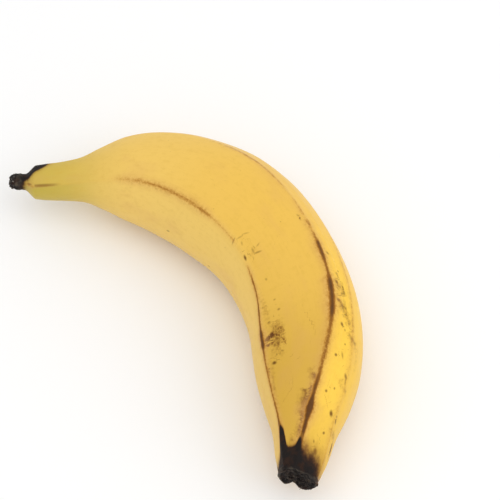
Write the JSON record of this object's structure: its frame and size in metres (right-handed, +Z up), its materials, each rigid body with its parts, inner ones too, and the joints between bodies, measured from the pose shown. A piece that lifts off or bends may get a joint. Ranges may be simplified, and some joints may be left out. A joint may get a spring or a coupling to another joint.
{
  "type": "plantain",
  "caption": "Ripe plantain: a bowed, ridged fruit that narrows to a withered flower nub at one end and to a torn, darkened stalk at the other.",
  "frame": {"origin": "middle of the fruit's footprint, on the surface that it lies on", "axes": "+X from the flower nub to the stalk, along the bow's chord; +Y to the outer side of the bow; +Z up from the side that it lies on"},
  "size_m": [0.2034, 0.0948, 0.0472],
  "materials": {
    "peel": "satin, waxy ripe yellow peel, brown along the ridges and black at both ends"
  },
  "bodies": {
    "root": {"plantain": "peel"}
  },
  "joints": []
}
